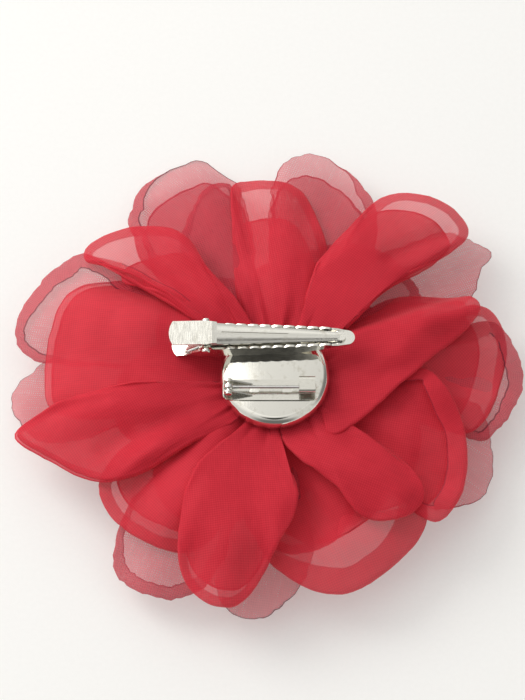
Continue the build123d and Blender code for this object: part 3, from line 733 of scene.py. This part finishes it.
def make_bud():
    """Three wrapped petals in the middle of the flower's face."""
    for index, node in enumerate(n for n in sorted(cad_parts) if n.startswith("bud_petal")):
        low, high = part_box(node)
        start = math.radians(20 + 120 * index)
        columns, rows = 36, 16
        points, cloth, rims = [], [], []
        for i in range(columns + 1):
            u = i / columns
            turn = start + BUD_ARC * u
            for j in range(rows + 1):
                v = j / rows
                lean = 1 - 0.10 * math.sin(3 * math.pi * u) * v
                radius = (2.2 + 6.0 * math.sin(0.5 * math.pi * v) * (0.62 + 0.38 * u)) * MM * lean
                z = high.z - (high.z - low.z) * v ** 1.4
                z += 0.5 * MM * math.sin(4 * math.pi * u + index) * v
                x, y = HUB.x + radius * math.cos(turn), HUB.y + radius * math.sin(turn)
                points.append((x, y, max(z, 0.3 * MM)))
                cloth.append((u * BUD_WIDTH, v * BUD_HEIGHT))
                rims.append((1 - v) * BUD_HEIGHT)
        piece = sheet_mesh(f"{node}_sheet", points, cloth, rims, columns, rows)
        piece.data.materials.append(MATERIALS["face"])
        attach(piece, ROOT_BODY)
        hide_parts(node)


def lathe(name, outline, steps, wobble):
    """A closed solid of revolution about the hub, whose surface is moved by wobble(angle, index)."""
    points, faces = [], []
    count = len(outline)
    for i in range(steps):
        angle = 2 * math.pi * i / steps
        for k, (radius, z) in enumerate(outline):
            r = radius + wobble(angle, k)
            points.append((HUB.x + r * math.cos(angle), HUB.y + r * math.sin(angle), z))
    for i in range(steps):
        j = (i + 1) % steps
        for k in range(count - 1):
            faces.append((i * count + k, j * count + k, j * count + k + 1, i * count + k + 1))
    faces.append([i * count for i in reversed(range(steps))])
    faces.append([i * count + count - 1 for i in range(steps)])
    return smooth_piece(name, points, faces)


def rounded_outline(radius, low, high, soft, steps=5):
    """Half section of a disc with soft edges, from the middle of its foot to the middle of its top."""
    foot = [(radius - soft + soft * math.sin(t), low + soft - soft * math.cos(t))
            for t in (math.pi / 2 * i / steps for i in range(steps + 1))]
    top = [(radius - soft + soft * math.cos(t), high - soft + soft * math.sin(t))
           for t in (math.pi / 2 * i / steps for i in range(steps + 1))]
    return [(radius * 0.5, low)] + foot + top + [(radius * 0.5, high)]


def make_core():
    """The bundled roots of the petals, as a drum with upright folds."""
    low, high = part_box("gathered_core")
    radius = (high.x - low.x) / 2

    def folds(angle, k):
        upright = math.sin(23 * angle + 0.4 * k) - 1
        return 0.35 * MM * upright + 0.3 * MM * smooth_noise(6 * angle, 0.5 * k, 2)

    core = lathe("gathered_core_folds", rounded_outline(radius, low.z, high.z, 1.6 * MM), 160, folds)
    core.data.materials.append(MATERIALS["core"])
    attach(core, ROOT_BODY)
    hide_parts("gathered_core")


def make_felt():
    """A round felt pad with a slightly frayed cut edge."""
    low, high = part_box("felt_pad")
    radius = (high.x - low.x) / 2

    def fray(angle, k):
        return 0.12 * MM * smooth_noise(30 * math.cos(angle), 30 * math.sin(angle), 0.3 * k)

    felt = lathe("felt_pad_cut", rounded_outline(radius - 0.1 * MM, low.z, high.z, 0.35 * MM), 144, fray)
    felt.data.materials.append(MATERIALS["felt"])
    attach(felt, ROOT_BODY)
    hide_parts("felt_pad")


# ---------------------------------------------------------------- clip spring
def tube(name, path, radius, sides=12):
    """A closed round tube along a list of points."""
    points, faces = [], []
    side = None
    for i, here in enumerate(path):
        ahead = (path[min(i + 1, len(path) - 1)] - path[max(i - 1, 0)]).normalized()
        if side is None:
            side = ahead.orthogonal().normalized()
        side = (side - ahead * side.dot(ahead)).normalized()
        up = ahead.cross(side)
        for k in range(sides):
            t = 2 * math.pi * k / sides
            points.append(here + (side * math.cos(t) + up * math.sin(t)) * radius)
    for i in range(len(path) - 1):
        for k in range(sides):
            m = (k + 1) % sides
            faces.append((i * sides + k, i * sides + m, (i + 1) * sides + m, (i + 1) * sides + k))
    faces.append(list(reversed(range(sides))))
    faces.append([(len(path) - 1) * sides + k for k in range(sides)])
    return smooth_piece(name, points, faces)


def make_spring():
    """Coil round the pivot pin, one leg up to the thumb pad and one down to the tail."""
    pin_low, pin_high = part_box("clip_pivot_pin")
    pivot = (pin_low + pin_high) / 2
    coil, wire, pitch, turns, slope = 1.2 * MM, 0.35 * MM, 0.75 * MM, 4.5, math.radians(30)
    upper_leg, lower_leg, leg_points = 6 * MM, 7 * MM, 8
    sweep = 2 * math.pi * turns - slope
    width = pitch * sweep / (2 * math.pi)
    steps = 180
    round_path = [
        pivot + Vector((coil * math.sin(t), width / 2 - width * t / sweep, coil * math.cos(t)))
        for t in (sweep * i / steps for i in range(steps + 1))
    ]
    first = (round_path[0] - round_path[1]).normalized()
    last = (round_path[-1] - round_path[-2]).normalized()
    upper = [round_path[0] + first * upper_leg * (1 - i / leg_points) for i in range(leg_points)]
    lower = [round_path[-1] + last * lower_leg * (i + 1) / leg_points for i in range(leg_points)]
    spring = tube("clip_spring_wire", upper + round_path + lower, wire)
    spring.data.materials.append(MATERIALS["spring"])
    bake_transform(spring)
    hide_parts("clip_torsion_spring")


# ---------------------------------------------------------------- carried-over CAD nodes
CAD_MATERIALS = {
    "backing_disc": "disc",
    "brooch_bar": "brooch",
    "hinge_rivet": "brooch",
    "brooch_needle": "needle",
    "clip_lower_jaw": "jaw",
    "clip_pivot_pin": "jaw",
    "clip_upper_lever": "lever",
    "glue_bed": "glue",
    "binding_thread": "thread",
}


def dress_cad_nodes():
    """Gives each CAD node that stays in view its material."""
    for node, material in CAD_MATERIALS.items():
        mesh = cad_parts[node].data
        mesh.materials.clear()
        mesh.materials.append(MATERIALS[material])


def make_stage():
    """The plain floor under the flower."""
    bpy.ops.mesh.primitive_plane_add(size=3.0, location=(0, 0, 0))
    floor = bpy.context.object
    floor.name = "floor"
    floor.data.materials.append(pale_floor("pale_floor"))


make_camera()
make_world()
area_light("key", (-0.52, 0.30, 0.50), (0, 0, 0.01), (0.40, 0.40), 2.7, (1.0, 0.985, 0.95))
make_stage()
dress_cad_nodes()
make_petals()
make_bud()
make_core()
make_felt()
make_spring()
